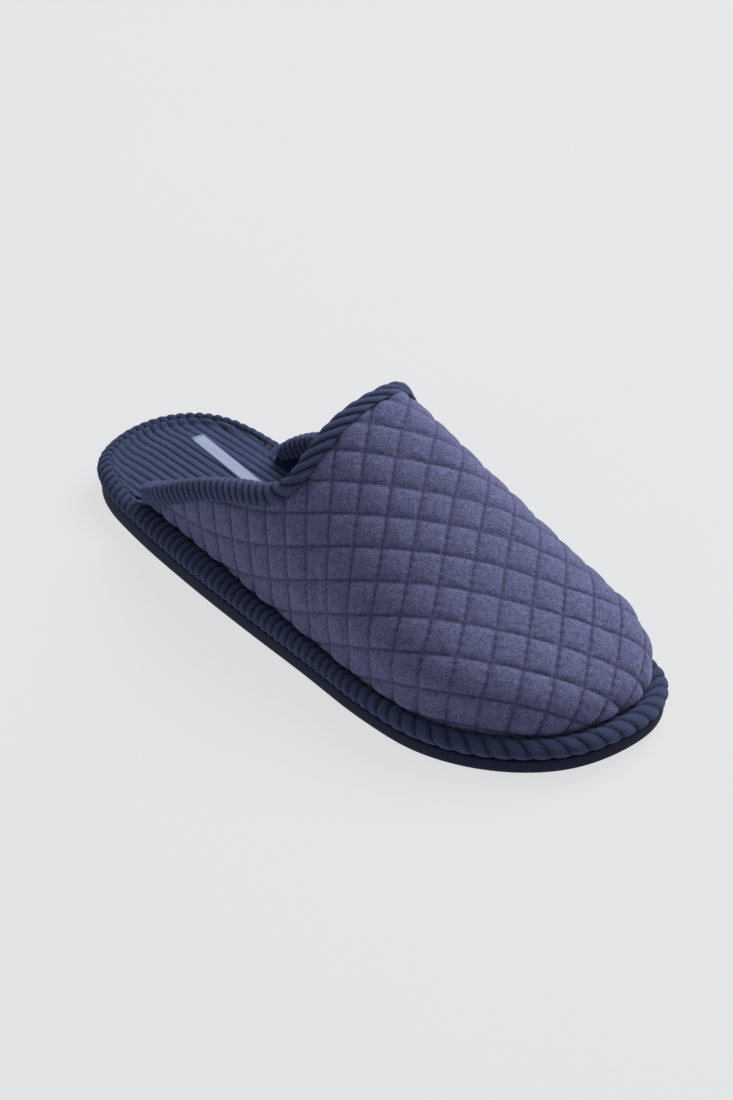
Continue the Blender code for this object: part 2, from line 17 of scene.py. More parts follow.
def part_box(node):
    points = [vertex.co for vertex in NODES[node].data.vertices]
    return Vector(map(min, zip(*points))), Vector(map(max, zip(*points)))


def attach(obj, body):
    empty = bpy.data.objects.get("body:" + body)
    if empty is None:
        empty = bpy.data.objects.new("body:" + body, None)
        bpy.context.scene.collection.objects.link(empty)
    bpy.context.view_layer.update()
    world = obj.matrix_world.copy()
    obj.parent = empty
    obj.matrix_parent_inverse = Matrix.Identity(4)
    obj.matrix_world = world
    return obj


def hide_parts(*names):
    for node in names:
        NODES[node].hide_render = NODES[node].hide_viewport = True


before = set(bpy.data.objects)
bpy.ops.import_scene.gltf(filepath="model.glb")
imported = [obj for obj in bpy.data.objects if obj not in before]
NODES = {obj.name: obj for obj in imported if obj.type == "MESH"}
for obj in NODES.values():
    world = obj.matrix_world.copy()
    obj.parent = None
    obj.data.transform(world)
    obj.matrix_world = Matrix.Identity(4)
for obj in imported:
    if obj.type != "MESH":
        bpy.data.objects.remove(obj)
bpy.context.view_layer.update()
MM = 0.001
print("nodes", sorted(NODES))

# %% [markdown]
# Colours are picked as sRGB hex values, as in any paint program, but shaders count in linear
# light, so one function turns them. Patterns are given by the size of what they show, in
# millimetres: a noise with a scale of one over that size, on Object coordinates in metres,
# draws spots about that large.


# %% Helpers for colours and shader nodes
def linear(code):
    """Turn an sRGB hex value into linear colour."""
    parts = [int(code[i : i + 2], 16) / 255.0 for i in (1, 3, 5)]
    light = [c / 12.92 if c <= 0.04045 else ((c + 0.055) / 1.055) ** 2.4 for c in parts]
    return tuple(light) + (1.0,)


def spots(size):
    """Scale of a pattern whose spots are this many millimetres wide."""
    return 1.0 / (size * MM)


def add_node(tree, kind, settings=None, links=None):
    """Add a shader node, set its properties and sockets, and link its inputs."""
    node = tree.nodes.new(kind)
    for key, value in (settings or {}).items():
        if isinstance(key, str) and hasattr(node, key):
            setattr(node, key, value)
        else:
            node.inputs[key].default_value = value
    for key, (source, output) in (links or {}).items():
        tree.links.new(source.outputs[output], node.inputs[key])
    return node


def start_material(name):
    """Give a new material, its tree and its Principled shader."""
    material = bpy.data.materials.new(name)
    material.use_nodes = True
    return material, material.node_tree, material.node_tree.nodes["Principled BSDF"]


def finish_material(material, shader, colour, normal, sockets):
    """Link colour and bump to the shader, and set what is the same all over."""
    for (node, output), socket in ((colour, "Base Color"), (normal, "Normal")):
        material.node_tree.links.new(node.outputs[output], shader.inputs[socket])
    for socket, value in sockets.items():
        shader.inputs[socket].default_value = value
    return material


# %% [markdown]
# Quilted jersey is a soft knit of violet-navy and paler heather yarns, so its colour
# wanders at the size of a few stitches. It has no gloss, only a faint nap. The colour
# comes from two noises at yarn size and the bump from a fine knit, both on Object
# coordinates, so the cloth does not swim when a view changes. An attribute called relief,
# written on the mesh, darkens the sewn lines with painted shade, for the shadow in their channels.


# %% Material: quilted heather jersey
# Millimetres. Real yarns are about 0.3 wide, and are drawn twice as coarse so that they show.
YARN = 0.6
STITCH = 0.42
HEATHER = 2.4


def make_jersey():
    """Brushed cotton jersey: mottled, quite matt, pale at grazing angles from its nap."""
    material, tree, shader = start_material("quilted_heather_jersey")
    place = add_node(tree, "ShaderNodeTexCoord")
    at = {"Vector": (place, "Object")}
    fine = {"Scale": spots(YARN), "Detail": 3.0, "Roughness": 0.7}
    yarn = add_node(tree, "ShaderNodeTexNoise", fine, at)
    broad = {"Scale": spots(HEATHER), "Detail": 3.0, "Roughness": 0.6}
    cloud = add_node(tree, "ShaderNodeTexNoise", broad, at)
    both = {0: (cloud, "Fac"), 2: (yarn, "Fac")}
    mixed = add_node(tree, "ShaderNodeMath", {"operation": "MULTIPLY_ADD", 1: 0.30}, both)
    ramp = add_node(tree, "ShaderNodeValToRGB", None, {"Fac": (mixed, 0)})
    for stop, position, code in zip(ramp.color_ramp.elements, (0.46, 0.86), ("#3a3c59", "#6d7098")):
        stop.position = position
        stop.color = linear(code)
    relief = add_node(tree, "ShaderNodeAttribute", {"attribute_name": "relief"})
    # Painted shade: the sewn lines are darkened towards this colour, standing in for the shadow in
    # their channels.
    line_painted_shade = {"data_type": "RGBA", 6: linear("#333350")}
    line = add_node(tree, "ShaderNodeMix", line_painted_shade, {0: (relief, "Fac"), 7: (ramp, "Color")})
    knit = add_node(tree, "ShaderNodeTexNoise", {"Scale": spots(STITCH), "Detail": 2.0}, at)
    loops = {"Strength": 0.6, "Distance": 0.3 * MM}
    small = add_node(tree, "ShaderNodeBump", loops, {"Height": (knit, "Fac")})
    lumps = {"Strength": 0.5, "Distance": 0.6 * MM}
    over = {"Height": (cloud, "Fac"), "Normal": (small, 0)}
    large = add_node(tree, "ShaderNodeBump", lumps, over)
    sockets = {
        "Roughness": 0.95,
        "Specular IOR Level": 0.15,
        "Sheen Weight": 0.50,
        "Sheen Roughness": 0.45,
        "Sheen Tint": linear("#a9abd6"),
    }
    return finish_material(material, shader, (line, 2), (large, 0), sockets)


# %% [markdown]
# Corduroy is a woven cotton whose cut pile stands up in wales. The colour is painted dark
# where the ridges meet, as painted shade, and paler on their crowns, as a painted highlight
# where light catches the fibre ends. The ridges are in the mesh, and the relief attribute
# says how high each point stands, so the painted shade in the valleys follows the ridges exactly.


# %% Material: navy corduroy
# Millimetres. Tufts of pile are finer than this, and are drawn coarser so that they show.
PILE = 0.7
WEAR = 11.0


def make_corduroy(name, valley, crown):
    """Cotton corduroy: painted highlight on the crowns, painted shade in the valleys, short pile
    that scatters light.
    """
    material, tree, shader = start_material(name)
    place = add_node(tree, "ShaderNodeTexCoord")
    at = {"Vector": (place, "Object")}
    relief = add_node(tree, "ShaderNodeAttribute", {"attribute_name": "relief"})
    tufts = {"Scale": spots(PILE), "Detail": 4.0, "Roughness": 0.8}
    pile = add_node(tree, "ShaderNodeTexNoise", tufts, at)
    wear = add_node(tree, "ShaderNodeTexNoise", {"Scale": spots(WEAR), "Detail": 3.0}, at)
    centred = {"operation": "SUBTRACT", 1: 0.5}
    blend = add_node(tree, "ShaderNodeMath", centred, {0: (pile, "Fac")})
    parts = {0: (relief, "Fac"), 1: (blend, 0)}
    height = add_node(tree, "ShaderNodeMath", {"operation": "ADD"}, parts)
    ramp = add_node(tree, "ShaderNodeValToRGB", None, {"Fac": (height, 0)})
    # Painted shade and highlight: the valley colour darkens the grooves, the crown colour lightens
    # the tops of the ridges.
    for stop, position, code in zip(ramp.color_ramp.elements, (0.10, 1.0), (valley, crown)):
        stop.position = position
        stop.color = linear(code)
    worn = {"To Min": 0.85, "To Max": 1.15}
    level = add_node(tree, "ShaderNodeMapRange", worn, {"Value": (wear, "Fac")})
    colour = {"Color": (ramp, "Color"), "Value": (level, 0)}
    shade = add_node(tree, "ShaderNodeHueSaturation", None, colour)
    ends = {"Strength": 0.9, "Distance": 0.8 * MM}
    bump = add_node(tree, "ShaderNodeBump", ends, {"Height": (pile, "Fac")})
    sockets = {
        "Roughness": 0.95,
        "Specular IOR Level": 0.12,
        "Sheen Weight": 0.45,
        "Sheen Roughness": 0.4,
        "Sheen Tint": linear("#93a0cc"),
    }
    return finish_material(material, shader, (shade, 0), (bump, 0), sockets)


# %% [markdown]
# The other finishes are plain. The lining is a flat brushed tricot, nearly black inside the
# toe. The outsole is foamed rubber with a fine moulded skin, matt all over. Sewing thread is
# smooth and a little paler than the cloth. They share one recipe: two tones that wander, and
# a grain of the same noise. The rubber adds a chevron tread on faces that look down.


# %% Materials: lining, thread and rubber
TREAD_PITCH = 5.0 * MM
FACING_DOWN = -0.8


def make_plain(name, tones, size, bump, rough, level, sheen=0.0):
    """A surface whose colour wanders between two tones and whose grain is a fine noise."""
    material, tree, shader = start_material(name)
    place = add_node(tree, "ShaderNodeTexCoord")
    spread = {"Scale": spots(size), "Detail": 4.0, "Roughness": 0.6}
    noise = add_node(tree, "ShaderNodeTexNoise", spread, {"Vector": (place, "Object")})
    ramp = add_node(tree, "ShaderNodeValToRGB", None, {"Fac": (noise, "Fac")})
    for stop, position, code in zip(ramp.color_ramp.elements, (0.3, 0.7), tones):
        stop.position = position
        stop.color = linear(code)
    fine = {"Strength": bump, "Distance": 0.2 * MM}
    grain = add_node(tree, "ShaderNodeBump", fine, {"Height": (noise, "Fac")})
    sockets = {
        "Roughness": rough,
        "Specular IOR Level": level,
        "Sheen Weight": sheen,
        "Sheen Tint": linear("#7f89b8"),
    }
    return finish_material(material, shader, (ramp, 0), (grain, 0), sockets)


def make_rubber():
    """Moulded foam rubber: matt navy skin, with a chevron tread underneath."""
    tones = ("#12172e", "#181e39")
    material = make_plain("moulded_foam_rubber", tones, size=1.4, bump=0.25, rough=0.75, level=0.2)
    tree = material.node_tree
    shader = tree.nodes["Principled BSDF"]
    place = add_node(tree, "ShaderNodeTexCoord")
    axes = add_node(tree, "ShaderNodeSeparateXYZ", None, {"Vector": (place, "Object")})
    side = add_node(tree, "ShaderNodeMath", {"operation": "ABSOLUTE"}, {0: (axes, "X")})
    slanted = {0: (side, 0), 1: (axes, "Y")}
    slant = add_node(tree, "ShaderNodeMath", {"operation": "ADD"}, slanted)
    once = {"operation": "MULTIPLY", 1: 2.0 * math.pi / TREAD_PITCH}
    turn = add_node(tree, "ShaderNodeMath", once, {0: (slant, 0)})
    band = add_node(tree, "ShaderNodeMath", {"operation": "SINE"}, {0: (turn, 0)})
    facing = add_node(tree, "ShaderNodeSeparateXYZ", None, {"Vector": (place, "Normal")})
    down = {"operation": "LESS_THAN", 1: FACING_DOWN}
    below = add_node(tree, "ShaderNodeMath", down, {0: (facing, "Z")})
    only = {0: (band, 0), 1: (below, 0)}
    tread = add_node(tree, "ShaderNodeMath", {"operation": "MULTIPLY"}, only)
    grain = shader.inputs["Normal"].links[0].from_node
    ribs = {"Strength": 0.8, "Distance": 0.8 * MM}
    bump = add_node(tree, "ShaderNodeBump", ribs, {"Height": (tread, 0), "Normal": (grain, 0)})
    tree.links.new(bump.outputs[0], shader.inputs["Normal"])
    return material


JERSEY = make_jersey()
# Each corduroy gives a near-black painted shade for its valleys, then a paler painted highlight for
# its crowns.
CORD_WRAP = make_corduroy("navy_corduroy_wrap", "#05070f", "#3c4464")
CORD_SOLE = make_corduroy("navy_corduroy_insole", "#070a15", "#404a6c")
CORD_ROPE = make_corduroy("navy_corduroy_binding", "#05070f", "#495174")
# Brushed tricot: flat knit with a short nap, so it has no gloss and swallows light.
tones = ("#191e38", "#242a47")
flat = {"size": 1.1, "bump": 0.3, "rough": 0.95, "level": 0.1, "sheen": 0.2}
LINING = make_plain("brushed_tricot_lining", tones, **flat)
# Spun polyester thread: smoother than the cloth round it, so it catches a little light.
tones = ("#39415f", "#464f70")
THREAD = make_plain("polyester_thread", tones, size=0.4, bump=0.3, rough=0.6, level=0.3)
RUBBER = make_rubber()
print("materials", sorted(material.name for material in bpy.data.materials))

# %% [markdown]
# Every soft layer is skinned the same way: rays are sent at the frame's solid from
# outside, station by station, and the points they hit become a regular grid. On such a
# grid it is easy to say how far along and how far round each point lies, which is what a
# wale or a seam needs.


# %% Helpers for lines and distances
def smooth_along(values, sigma, closed):
    """Blur rows of numbers along the first axis, sigma in steps."""
    reach = int(math.ceil(3.0 * sigma))
    weights = np.exp(-0.5 * (np.arange(-reach, reach + 1) / sigma) ** 2)
    weights /= weights.sum()
    if closed:
        padded = np.concatenate([values[-reach:], values, values[:reach]])
    else:
        head = 2.0 * values[0] - values[1 : reach + 1][::-1]
        tail = 2.0 * values[-1] - values[-reach - 1 : -1][::-1]
        padded = np.concatenate([head, values, tail])
    result = np.zeros_like(values)
    for k, weight in enumerate(weights):
        result += weight * padded[k : k + len(values)]
    return result


def even_steps(points, step, closed):
    """Place points at even steps along a line, and give its length. Place comes first."""
    line = np.concatenate([points, points[:1]]) if closed else points
    gaps = np.linalg.norm(np.diff(line[:, :3], axis=0), axis=1)
    lengths = np.concatenate([[0.0], np.cumsum(gaps)])
    count = max(8, int(round(lengths[-1] / step)))
    places = np.arange(count + (0 if closed else 1)) * lengths[-1] / count
    columns = [np.interp(places, lengths, line[:, i]) for i in range(line.shape[1])]
    return np.stack(columns, 1), lengths[-1]


def rows_of(vectors):
    """Scale each row of an array to length one."""
    return vectors / np.maximum(np.linalg.norm(vectors, axis=1, keepdims=True), 1e-12)


def share_of(values, start, width):
    """How far values have gone from a start over a width, held between 0 and 1."""
    return np.clip((values - start) / width, 0.0, 1.0)


def ease(share):
    """Turn a straight share into one that starts and ends softly."""
    return share * share * (3.0 - 2.0 * share)


def distances(places, points):
    """Distance from each of the points to the nearest of the places."""
    tree = KDTree(len(places))
    for index, place in enumerate(places):
        tree.insert(Vector(place), index)
    tree.balance()
    return np.array([tree.find(Vector(point))[2] for point in points])


def wale(phase, sharp):
    """Height of a corduroy ridge, 0 in the valley and 1 on the crown."""
    return np.abs(np.sin(np.pi * phase)) ** sharp


def uneven(phase, share):
    """Make each ridge a little higher or lower than its neighbours, the same in each run."""
    return 1.0 + share * np.sin(np.floor(phase) * 12.9898)


# %% Helpers for meshes
def tree_of(name):
    """Search tree over the triangles of one solid of the frame."""
    mesh = NODES[name].data
    places = [v.co for v in mesh.vertices]
    return BVHTree.FromPolygons(places, [p.vertices for p in mesh.polygons])


def start_editing(piece):
    """Select one piece alone, and all of it, in edit mode."""
    bpy.ops.object.select_all(action="DESELECT")
    piece.select_set(True)
    bpy.context.view_layer.objects.active = piece
    bpy.ops.object.mode_set(mode="EDIT")
    bpy.ops.mesh.select_all(action="SELECT")


def stop_editing():
    """Leave edit mode."""
    bpy.ops.object.mode_set(mode="OBJECT")


def fix_normals(piece):
    """Point a closed piece's faces outwards."""
    start_editing(piece)
    bpy.ops.mesh.normals_make_consistent(inside=False)
    stop_editing()


def write_relief(mesh, relief):
    """Keep a value between 0 and 1 at each point, for the material: mostly a height, and on the
    cover the painted shade of the sewn lines.
    """
    layer = mesh.attributes.new("relief", "FLOAT", "POINT")
    layer.data.foreach_set("value", relief.reshape(-1).astype(np.float32))


def grid_piece(name, grid, closed_along, closed_round, relief, material):
    """Make a piece from a grid of points. A tube's two ends are capped."""
    count, around = grid.shape[:2]
    faces = []
    for i in range(count if closed_along else count - 1):
        n = (i + 1) % count
        for j in range(around if closed_round else around - 1):
            m = (j + 1) % around
            faces.append((i * around + j, n * around + j, n * around + m, i * around + m))
    if closed_round and not closed_along:
        faces.append(tuple(range(around)))
        faces.append(tuple(range((count - 1) * around, count * around)))
    mesh = bpy.data.meshes.new(name)
    mesh.from_pydata(grid.reshape(-1, 3).tolist(), [], faces)
    write_relief(mesh, relief)
    mesh.shade_smooth()
    mesh.materials.append(material)
    piece = bpy.data.objects.new(name, mesh)
    bpy.context.scene.collection.objects.link(piece)
    return piece


def merged_copy(name, node):
    """Copy a solid of the frame and merge its loose triangles, still in edit mode."""
    piece = bpy.data.objects.new(name, NODES[node].data.copy())
    bpy.context.scene.collection.objects.link(piece)
    start_editing(piece)
    bpy.ops.mesh.remove_doubles(threshold=0.01 * MM)
    bpy.ops.mesh.customdata_custom_splitnormals_clear()
    return piece


def refine(piece, levels, unwrap):
    """Turn a surface into quads, unwrap it if asked, and divide it smoothly."""
    start_editing(piece)
    bpy.ops.mesh.mark_sharp(clear=True)
    bpy.ops.mesh.tris_convert_to_quads(face_threshold=math.pi, shape_threshold=math.pi)
    if unwrap:
        bpy.ops.uv.unwrap(method="ANGLE_BASED", margin=0.0)
    stop_editing()
    divide = piece.modifiers.new("divide", "SUBSURF")
    divide.levels = levels
    divide.render_levels = levels
    divide.boundary_smooth = "PRESERVE_CORNERS"
    bpy.ops.object.modifier_apply(modifier=divide.name)
    bpy.ops.object.shade_smooth()


# %% [markdown]
# The upper is cut flat from quilted cloth, so its diamonds are true squares on the flat
# pattern and bend with the cloth. The frame's shell is split at its sharp edges into the
# outer face, the inner face and the rim. The outer face is unwrapped, which gives back the
# flat pattern, then divided until one step is under a millimetre.


# %% Split the upper into its layers
SHARP_EDGE = math.radians(52.0)


def area_of(piece):
    """Area of a piece's faces in square metres."""
    return sum(p.area for p in piece.data.polygons)


def split_upper():
    """Give the outer and the inner face of the upper as two objects."""
    merged_copy("quilted_cover", "upper")
    bpy.ops.mesh.select_all(action="DESELECT")
    bpy.ops.mesh.edges_select_sharp(sharpness=SHARP_EDGE)
    bpy.ops.mesh.edge_split(type="EDGE")
    bpy.ops.mesh.select_all(action="SELECT")
    bpy.ops.mesh.separate(type="LOOSE")
    stop_editing()
    parts = sorted(bpy.context.selected_objects, key=area_of, reverse=True)
    for scrap in parts[2:]:
        bpy.data.objects.remove(scrap, do_unlink=True)
    return parts[0], parts[1]


cover, lining = split_upper()
print("areas in cm2", round(area_of(cover) * 1e4, 1), round(area_of(lining) * 1e4, 1))
refine(cover, 3, True)
refine(lining, 1, False)
print("cover faces", len(cover.data.polygons))


# %% Read the cover's points and border
def read_points(mesh):
    """Points and normals of a mesh as arrays."""
    points = np.zeros(len(mesh.vertices) * 3)
    mesh.vertices.foreach_get("co", points)
    normals = np.zeros(len(mesh.vertices) * 3)
    mesh.vertex_normals.foreach_get("vector", normals)
    return points.reshape(-1, 3), normals.reshape(-1, 3)


def faces_at_edges(mesh):
    """How many faces meet at each edge."""
    sides = np.zeros(len(mesh.loops), int)
    mesh.loops.foreach_get("edge_index", sides)
    return np.bincount(sides, minlength=len(mesh.edges))


def read_border(mesh):
    """Indices of the border of a sheet, in order round it."""
    edges = np.zeros(len(mesh.edges) * 2, int)
    mesh.edges.foreach_get("vertices", edges)
    near = {}
    for a, b in edges.reshape(-1, 2)[faces_at_edges(mesh) == 1]:
        near.setdefault(a, []).append(b)
        near.setdefault(b, []).append(a)
    first = min(near)
    walk = [first, near[first][0]]
    while walk[-1] != first:
        walk.append([v for v in near[walk[-1]] if v != walk[-2]][0])
    return np.array(walk[:-1])


# Below this height, the border of the cover is its foot, under the wrap.
FOOT_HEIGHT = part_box("upper")[0].z + 3.2 * MM
cover_points, cover_normals = read_points(cover.data)
border = read_border(cover.data)
print("border", len(border), "points")


# %% Read the flat pattern
def flat_pattern(mesh, points):
    """Flat pattern in metres: the peak is the origin and the toe lies towards -V."""
    flat = np.zeros(len(mesh.loops) * 2)
    mesh.uv_layers[0].uv.foreach_get("vector", flat)
    owners = np.zeros(len(mesh.loops), int)
    mesh.loops.foreach_get("vertex_index", owners)
    result = np.zeros((len(points), 2))
    result[owners] = flat.reshape(-1, 2)
    real = sum(p.area for p in mesh.polygons)
    drawn = 0.0
    for p in mesh.polygons:
        ring = result[list(p.vertices)]
        after = np.roll(ring, -1, axis=0)
        drawn += 0.5 * float(np.sum(ring[:, 0] * after[:, 1] - after[:, 0] * ring[:, 1]))
    result *= math.sqrt(real / abs(drawn))
    if drawn < 0.0:
        result[:, 0] *= -1.0
    result -= result[int(np.argmax(points[:, 2]))]
    toe = result[int(np.argmin(points[:, 1]))]
    down = toe / np.linalg.norm(toe)
    turn = np.array([[-down[1], down[0]], [-down[0], -down[1]]])
    return result @ turn.T


pattern = flat_pattern(cover.data, cover_points)
cover.data.uv_layers.remove(cover.data.uv_layers[0])
print("pattern", pattern.min(0).round(4), pattern.max(0).round(4))

# %% [markdown]
# Quilting lines are sewn straight on flat cloth, and pulling the cloth over the last bows
# them. So each of the two sets of lines is a short formula on the flat pattern that counts
# cells: a line lies wherever the count is whole. Drawn this way, the lines stay evenly
# spaced and stop where the cloth stops.


# %% Draw the quilting lines on the flat pattern
# Counted in cells from QUILT_MIDDLE, for each decimetre across and down: straight terms,
# then the bow and twist that the last gives. Past QUILT_REACH the lines run on straight.
DM = 0.1
QUILT_MIDDLE = (-30.0 * MM, -64.0 * MM)
QUILT_LINES = (
    {
        "start": 0.094,
        "straight": (6.49, -5.78),
        "bow": (0.27, -0.57, 0.44),
        "twist": (-2.84, -3.22, -0.16, -0.22),
    },
    {
        "start": 0.062,
        "straight": (5.48, 6.11),
        "bow": (0.78, 0.14, -0.37),
        "twist": (-0.05, -0.59, 0.23, -0.47),
    },
)
QUILT_REACH = ((-0.85, 0.30), (-0.80, 0.95))
# No hand sews quite straight: how far a line wanders, in cells, and over what length.
LINE_WANDER = 0.035
LINE_WAVE = 14.0 * MM


def wander(u, v, step):
    """Slow waviness between -1 and 1 over the pattern."""
    cross = np.sin(u / step + 1.7) * np.sin(0.83 * v / step + 0.4)
    return (cross + 0.6 * np.sin((0.61 * u - 1.13 * v) / step + 2.1)) / 1.6


def count_cells(lines, u, v):
    """Cells counted from the middle, and how many lie in a metre there."""
    a, b = lines["straight"]
    c, d, e = lines["bow"]
    f, g, h, i = lines["twist"]
    x = np.clip(u, *QUILT_REACH[0])
    y = np.clip(v, *QUILT_REACH[1])
    value = a * x + b * y + c * x * x + d * x * y + e * y * y
    value += f * x**3 + g * x * x * y + h * x * y * y + i * y**3
    by_x = a + 2.0 * c * x + d * y + 3.0 * f * x * x + 2.0 * g * x * y + h * y * y
    by_y = b + d * x + 2.0 * e * y + g * x * x + 2.0 * h * x * y + 3.0 * i * y * y
    cells = lines["start"] + value + by_x * (u - x) + by_y * (v - y)
    return cells, np.hypot(by_x, by_y) / DM


wave = wander(pattern[:, 0], pattern[:, 1], LINE_WAVE)
counts = []
to_line = []
for lines, side in zip(QUILT_LINES, (1.0, -1.0)):
    from_middle = (pattern - np.array(QUILT_MIDDLE)) / DM
    cells, density = count_cells(lines, from_middle[:, 0], from_middle[:, 1])
    cells = cells + LINE_WANDER * side * wave
    counts.append(cells)
    to_line.append(np.abs(cells - np.round(cells)) / density)
to_line = np.stack(to_line, 1)
print("cells counted", [(round(float(c.min())), round(float(c.max()))) for c in counts])

# %% [markdown]
# Between the sewn lines the wadding pushes the cloth up, steeply beside a line and flat on
# top. Sculpt-like moves along the normals give that shape faster than a cloth simulation,
# and keep every sewn line where it belongs. Stitches pucker the cloth beside the lines, the
# cloth swells just above the seam, and a few creases are listed where the foot bends.


# %% Creases listed one by one
# On the flat pattern, in millimetres: start, end, depth and half width.
CREASES = (
    ((-54.0, -24.0), (-88.0, -62.0), 1.1, 3.4),
    ((-66.0, -66.0), (-84.0, -76.0), 0.8, 2.8),
    ((-40.0, -14.0), (-62.0, -20.0), 0.7, 2.6),
    ((-38.0, -132.0), (-58.0, -116.0), 0.8, 3.0),
    ((8.0, -128.0), (16.0, -112.0), 0.8, 3.0),
    ((52.0, -22.0), (84.0, -60.0), 1.0, 3.4),
    ((64.0, -66.0), (80.0, -76.0), 0.7, 2.8),
)


def crease_depth(crease, places):
    """Depth of one crease: deepest in its middle and gone at its ends."""
    first, last, depth, width = crease
    first = np.array(first) * MM
    step = np.array(last) * MM - first
    share = np.clip((places - first) @ step / float(step @ step), 0.0, 1.0)
    apart = np.linalg.norm(places - first - share[:, None] * step, axis=1)
    along = np.sin(np.pi * np.clip(share, 0.04, 0.96))
    return depth * MM * along * np.exp(-((apart / (width * MM)) ** 2))


creased = sum(crease_depth(crease, pattern) for crease in CREASES)
print("creases", len(CREASES), "deepest", round(float(creased.max()) / MM, 2), "mm")

# %% Puff the cover between its quilting lines
# Height of a cell, depth of its sewn lines, and how soon the cloth rises from them.
QUILT_PUFF = 1.30 * MM
QUILT_SINK = 0.65 * MM
QUILT_SOFT = 1.5 * MM
# Cells differ a little in height, and the cloth has small wrinkles of its own.
PUFF_WANDER = 0.12
PUFF_WAVE = 7.0 * MM
WRINKLE = 0.08 * MM
WRINKLE_WAVE = 2.6 * MM
# Puckers beside a sewn line: their height, how far they reach, and how many there are a cell.
PUCKER = 0.13 * MM
PUCKER_REACH = 2.0 * MM
PUCKERS = 3.7
# Above the seam the cloth swells, and right at the seam it tucks in.
BORDER_FLAT = 2.4 * MM
BULGE = 0.9 * MM
BULGE_AT = 4.2 * MM
BULGE_WIDTH = 2.6 * MM
TUCK = 0.9 * MM
TUCK_WIDTH = 1.8 * MM

pillow = np.prod(1.0 - np.exp(-to_line / QUILT_SOFT), axis=1)
pillow *= 1.0 + PUFF_WANDER * wander(pattern[:, 0], pattern[:, 1], PUFF_WAVE)
small = WRINKLE * wander(pattern[:, 0], pattern[:, 1], WRINKLE_WAVE)
for k in (0, 1):
    phase = 2.0 * np.pi * PUCKERS * counts[1 - k] + 5.0 * np.round(counts[k]) + 2.0 * wave
    small += PUCKER * np.sin(phase) * np.exp(-to_line[:, k] / PUCKER_REACH)
fade = ease(share_of(distances(cover_points[border], cover_points), 0.0, BORDER_FLAT))
seam = border[cover_points[border][:, 2] < FOOT_HEIGHT]
to_seam = distances(cover_points[seam], cover_points)
rise = (pillow * QUILT_PUFF - QUILT_SINK - creased + small) * fade
rise += BULGE * pillow * np.exp(-(((to_seam - BULGE_AT) / BULGE_WIDTH) ** 2))
rise -= TUCK * np.exp(-((to_seam / TUCK_WIDTH) ** 2))
quilted = cover_points + cover_normals * rise[:, None]
cover.data.vertices.foreach_set("co", quilted.reshape(-1))
print("puffed", round(float(rise.min()) / MM, 2), "to", round(float(rise.max()) / MM, 2), "mm")

# %% Darken the sewn lines with painted shade
LINE_SHADE = 0.85
LINE_WIDTH = 0.55 * MM
nearest_line = np.min(to_line, axis=1)
line_shade = 1.0 - LINE_SHADE * np.exp(-((nearest_line / LINE_WIDTH) ** 2))
write_relief(cover.data, line_shade)
cover.data.update()
print("shaded from", round(float(line_shade.min()), 2), "to", round(float(line_shade.max()), 2))

# %% [markdown]
# Cloth has two sides and a thickness, so the puffed face and the lining are joined into one
# closed wall. Their borders run side by side under the binding and under the wrap, and a
# bridge between the two loops closes them.


# %% Close the wall of the upper
for sheet, finish in ((cover, JERSEY), (lining, LINING)):
    sheet.data.materials.clear()
    sheet.data.materials.append(finish)
bpy.ops.object.select_all(action="DESELECT")
lining.select_set(True)
cover.select_set(True)
bpy.context.view_layer.objects.active = cover
bpy.ops.object.join()
start_editing(cover)
bpy.ops.mesh.select_mode(type="EDGE")
bpy.ops.mesh.select_all(action="DESELECT")
bpy.ops.mesh.select_non_manifold()
bpy.ops.mesh.bridge_edge_loops()
bpy.ops.mesh.select_mode(type="VERT")
stop_editing()
fix_normals(cover)
cover.data.shade_smooth()
cover.name = "quilted_upper"
print("upper faces", len(cover.data.polygons), "open", int((faces_at_edges(cover.data) != 2).sum()))

# %% [markdown]
# The binding is a bias strip of corduroy folded over the edge. Cut on the bias, its wales
# wind round the fold like the strands of a rope. The top edge of the cover gives the path,
# the frame's binding gives the outer surface, and the wales are ridges that climb round it
# at a slant.


# %% Path of the binding
WALL = 3.8 * MM
ROPE_STEP = 0.40 * MM


def top_path():
    """Top edge of the cover from one wing's foot round to the other, with wall normals."""
    points = cover_points[border]
    foot = points[:, 2] < FOOT_HEIGHT
    runs = []
    for start in np.flatnonzero(foot & ~np.roll(foot, -1)):
        run = []
        k = (start + 1) % len(points)
        while not foot[k]:
            run.append(k)
            k = (k + 1) % len(points)
        runs.append(run)
    best = max(runs, key=len)
    line = np.concatenate([points[best], cover_normals[border[best]]], axis=1)
    return line if line[0, 0] < line[-1, 0] else line[::-1]


rope_line, rope_length = even_steps(top_path(), ROPE_STEP, False)
rope_line = smooth_along(rope_line, 6.0, False)
across = rows_of(rope_line[:, 3:])
middle = rope_line[:, :3] - across * (0.5 * WALL)
outward = rows_of(np.cross(rows_of(np.gradient(middle, axis=0)), across))
if outward[len(outward) // 2, 2] < 0.0:
    outward = -outward
print("binding", len(middle), "stations", round(rope_length / MM, 1), "mm")

# %% Measure the frame's binding
ROPE_ROUND = 34
ROPE_OPEN = 142.0
ROPE_UNDER = 1.7 * MM
# The ends taper and dive into the wrap.
TIP_LENGTH = 9.0 * MM
TIP_DIVE = 3.0 * MM
TIP_LEFT = 0.10
# Rays start well outside. Where one meets something else, the usual oval is taken.
RAY_FROM = 8.0 * MM
OVAL = (4.4 * MM, 4.2 * MM)
LIKELY = (3.4 * MM, 6.6 * MM)

